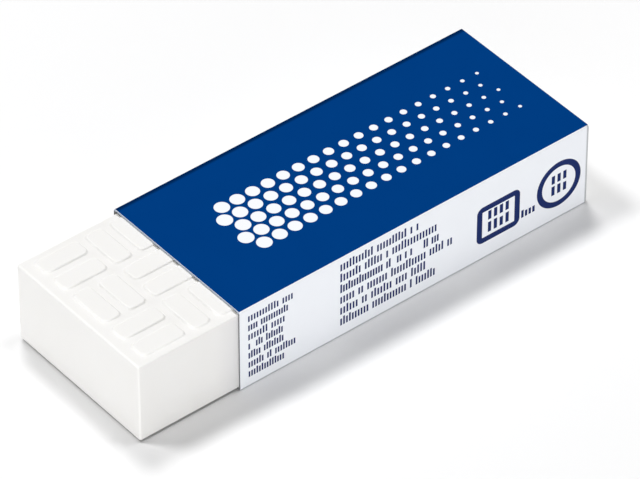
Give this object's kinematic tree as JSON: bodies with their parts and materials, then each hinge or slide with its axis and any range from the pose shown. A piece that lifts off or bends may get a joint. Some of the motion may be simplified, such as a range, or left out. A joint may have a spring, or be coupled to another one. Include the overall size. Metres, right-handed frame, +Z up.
{
  "type": "eraser",
  "caption": "Oblong white vinyl eraser block with soft edges and a raised weave on top, held in a folded card sleeve that slides along it.",
  "frame": {"origin": "on the table, under the middle of the block", "axes": "+X along the block from its bare working end to its tail, +Y from the printed near side to the glued far side, +Z up"},
  "size_m": [0.065, 0.0228, 0.0116],
  "materials": {
    "vinyl": "matte",
    "printed_card": "satin"
  },
  "bodies": {
    "block": {"eraser_block": "vinyl"},
    "sleeve": {"card_sleeve": "printed_card"}
  },
  "joints": [
    {"name": "sleeve_slide", "type": "slide", "parent": "block", "child": "sleeve", "axis": [1, 0, 0], "range_m": [-0.0138, 0.0512]}
  ]
}
